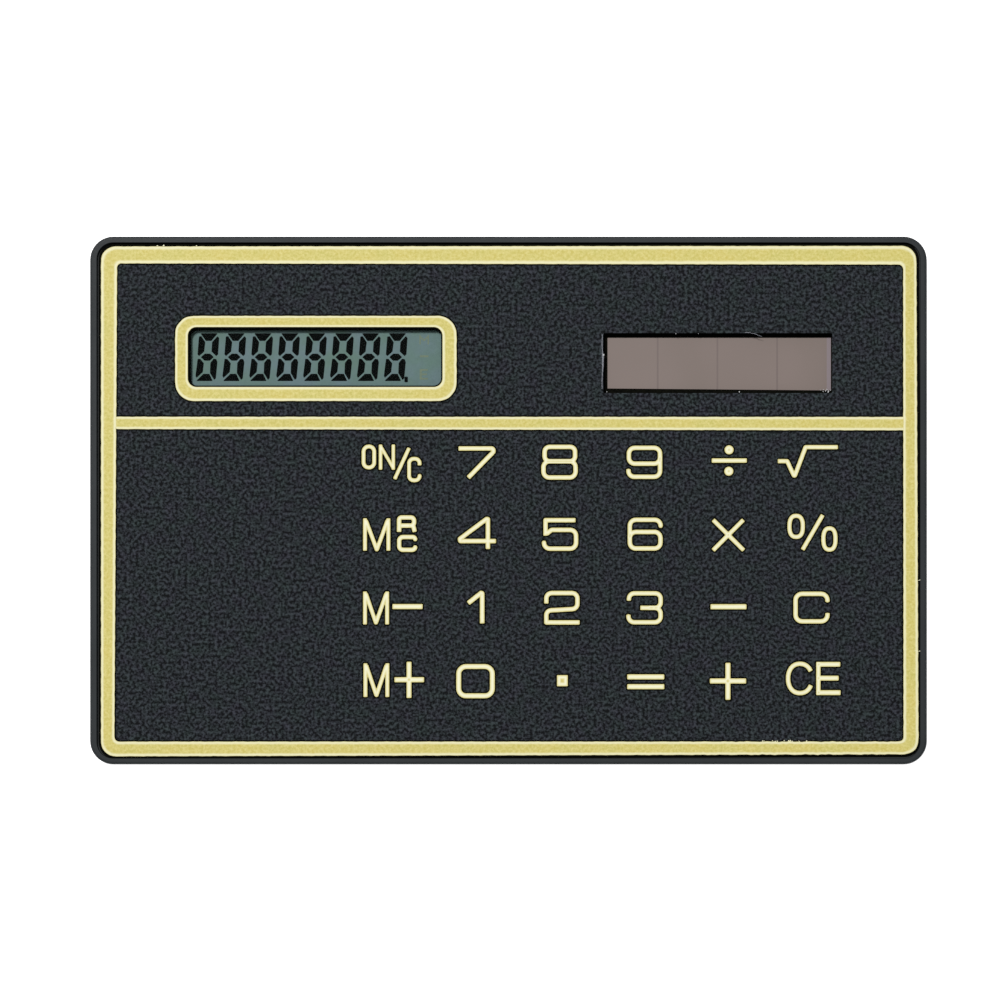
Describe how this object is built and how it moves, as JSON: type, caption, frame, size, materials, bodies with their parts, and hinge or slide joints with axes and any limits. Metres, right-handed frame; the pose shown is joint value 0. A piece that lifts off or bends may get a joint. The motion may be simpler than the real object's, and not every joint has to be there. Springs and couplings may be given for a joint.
{
  "type": "pocket calculator",
  "caption": "Card-sized solar pocket calculator with a flat printed face, a small segment display, a solar cell and film-covered push keys.",
  "frame": {"origin": "middle of the back face, which the calculator lies on", "axes": "+Z out of the face, away from the back; +X along the long side, to the right as the face is read; +Y up the face, towards the display"},
  "size_m": [0.0856, 0.054, 0.0032],
  "materials": {
    "case_plastic": "moulded ABS, satin, faint spark texture",
    "printed_film": "grained polyester film, matt black",
    "gold_ink": "screen-printed pale gold ink, satin",
    "display_segments": "dark liquid crystal segments",
    "adhesive": "clear adhesive sheet",
    "clear_sheet": "clear polyester sheet",
    "polariser": "grey green polariser film, satin",
    "display_glass": "thin ground glass",
    "reflector": "silvered diffuser",
    "foam_tape": "black foam tape",
    "ribbon": "polyester ribbon with carbon lines",
    "solar_glass": "glass over brown silicon film",
    "solar_silicon": "amorphous silicon film",
    "red_wire": "vinyl insulation",
    "black_wire": "vinyl insulation",
    "solder": "bright solder",
    "silicone": "grey silicone rubber",
    "board": "green solder mask",
    "carbon": "printed carbon",
    "resin": "black epoxy",
    "capacitor": "ceramic"
  },
  "bodies": {
    "casing": {"front_case": "case_plastic", "rear_case": "case_plastic", "face_film": "printed_film", "film_adhesive": "adhesive", "display_window": "clear_sheet", "lcd_front_polariser": "polariser", "lcd_front_glass": "display_glass", "lcd_rear_glass": "display_glass", "lcd_reflector": "reflector", "lcd_cushion": "foam_tape", "lcd_ribbon": "ribbon", "solar_glass": "solar_glass", "solar_cells": "solar_silicon", "solar_tape": "foam_tape", "solar_lead_positive": "red_wire", "solar_lead_negative": "black_wire", "solder_joints": "solder", "key_mat": "silicone", "main_board": "board", "key_contacts": "carbon", "chip_cover": "resin", "buffer_capacitor": "capacitor", "clamp_diode": "resin", "chip_resistors": "resin"},
    "key_on_clear": {"key_on_clear": "printed_film"},
    "key_7": {"key_7": "printed_film"},
    "key_8": {"key_8": "printed_film"},
    "key_9": {"key_9": "printed_film"},
    "key_divide": {"key_divide": "printed_film"},
    "key_root": {"key_root": "printed_film"},
    "key_memory_recall": {"key_memory_recall": "printed_film"},
    "key_4": {"key_4": "printed_film"},
    "key_5": {"key_5": "printed_film"},
    "key_6": {"key_6": "printed_film"},
    "key_times": {"key_times": "printed_film"},
    "key_percent": {"key_percent": "printed_film"},
    "key_memory_minus": {"key_memory_minus": "printed_film"},
    "key_1": {"key_1": "printed_film"},
    "key_2": {"key_2": "printed_film"},
    "key_3": {"key_3": "printed_film"},
    "key_minus": {"key_minus": "printed_film"},
    "key_clear": {"key_clear": "printed_film"},
    "key_memory_plus": {"key_memory_plus": "printed_film"},
    "key_0": {"key_0": "printed_film"},
    "key_point": {"key_point": "printed_film"},
    "key_equals": {"key_equals": "printed_film"},
    "key_plus": {"key_plus": "printed_film"},
    "key_clear_entry": {"key_clear_entry": "printed_film"}
  },
  "joints": [
    {"name": "key_on_clear_press", "type": "slide", "parent": "casing", "child": "key_on_clear", "axis": [0, 0, -1], "range_m": [0, 0.0003], "stiffness_N_per_m": 2500},
    {"name": "key_7_press", "type": "slide", "parent": "casing", "child": "key_7", "axis": [0, 0, -1], "range_m": [0, 0.0003], "stiffness_N_per_m": 2500},
    {"name": "key_8_press", "type": "slide", "parent": "casing", "child": "key_8", "axis": [0, 0, -1], "range_m": [0, 0.0003], "stiffness_N_per_m": 2500},
    {"name": "key_9_press", "type": "slide", "parent": "casing", "child": "key_9", "axis": [0, 0, -1], "range_m": [0, 0.0003], "stiffness_N_per_m": 2500},
    {"name": "key_divide_press", "type": "slide", "parent": "casing", "child": "key_divide", "axis": [0, 0, -1], "range_m": [0, 0.0003], "stiffness_N_per_m": 2500},
    {"name": "key_root_press", "type": "slide", "parent": "casing", "child": "key_root", "axis": [0, 0, -1], "range_m": [0, 0.0003], "stiffness_N_per_m": 2500},
    {"name": "key_memory_recall_press", "type": "slide", "parent": "casing", "child": "key_memory_recall", "axis": [0, 0, -1], "range_m": [0, 0.0003], "stiffness_N_per_m": 2500},
    {"name": "key_4_press", "type": "slide", "parent": "casing", "child": "key_4", "axis": [0, 0, -1], "range_m": [0, 0.0003], "stiffness_N_per_m": 2500},
    {"name": "key_5_press", "type": "slide", "parent": "casing", "child": "key_5", "axis": [0, 0, -1], "range_m": [0, 0.0003], "stiffness_N_per_m": 2500},
    {"name": "key_6_press", "type": "slide", "parent": "casing", "child": "key_6", "axis": [0, 0, -1], "range_m": [0, 0.0003], "stiffness_N_per_m": 2500},
    {"name": "key_times_press", "type": "slide", "parent": "casing", "child": "key_times", "axis": [0, 0, -1], "range_m": [0, 0.0003], "stiffness_N_per_m": 2500},
    {"name": "key_percent_press", "type": "slide", "parent": "casing", "child": "key_percent", "axis": [0, 0, -1], "range_m": [0, 0.0003], "stiffness_N_per_m": 2500},
    {"name": "key_memory_minus_press", "type": "slide", "parent": "casing", "child": "key_memory_minus", "axis": [0, 0, -1], "range_m": [0, 0.0003], "stiffness_N_per_m": 2500},
    {"name": "key_1_press", "type": "slide", "parent": "casing", "child": "key_1", "axis": [0, 0, -1], "range_m": [0, 0.0003], "stiffness_N_per_m": 2500},
    {"name": "key_2_press", "type": "slide", "parent": "casing", "child": "key_2", "axis": [0, 0, -1], "range_m": [0, 0.0003], "stiffness_N_per_m": 2500},
    {"name": "key_3_press", "type": "slide", "parent": "casing", "child": "key_3", "axis": [0, 0, -1], "range_m": [0, 0.0003], "stiffness_N_per_m": 2500},
    {"name": "key_minus_press", "type": "slide", "parent": "casing", "child": "key_minus", "axis": [0, 0, -1], "range_m": [0, 0.0003], "stiffness_N_per_m": 2500},
    {"name": "key_clear_press", "type": "slide", "parent": "casing", "child": "key_clear", "axis": [0, 0, -1], "range_m": [0, 0.0003], "stiffness_N_per_m": 2500},
    {"name": "key_memory_plus_press", "type": "slide", "parent": "casing", "child": "key_memory_plus", "axis": [0, 0, -1], "range_m": [0, 0.0003], "stiffness_N_per_m": 2500},
    {"name": "key_0_press", "type": "slide", "parent": "casing", "child": "key_0", "axis": [0, 0, -1], "range_m": [0, 0.0003], "stiffness_N_per_m": 2500},
    {"name": "key_point_press", "type": "slide", "parent": "casing", "child": "key_point", "axis": [0, 0, -1], "range_m": [0, 0.0003], "stiffness_N_per_m": 2500},
    {"name": "key_equals_press", "type": "slide", "parent": "casing", "child": "key_equals", "axis": [0, 0, -1], "range_m": [0, 0.0003], "stiffness_N_per_m": 2500},
    {"name": "key_plus_press", "type": "slide", "parent": "casing", "child": "key_plus", "axis": [0, 0, -1], "range_m": [0, 0.0003], "stiffness_N_per_m": 2500},
    {"name": "key_clear_entry_press", "type": "slide", "parent": "casing", "child": "key_clear_entry", "axis": [0, 0, -1], "range_m": [0, 0.0003], "stiffness_N_per_m": 2500}
  ]
}
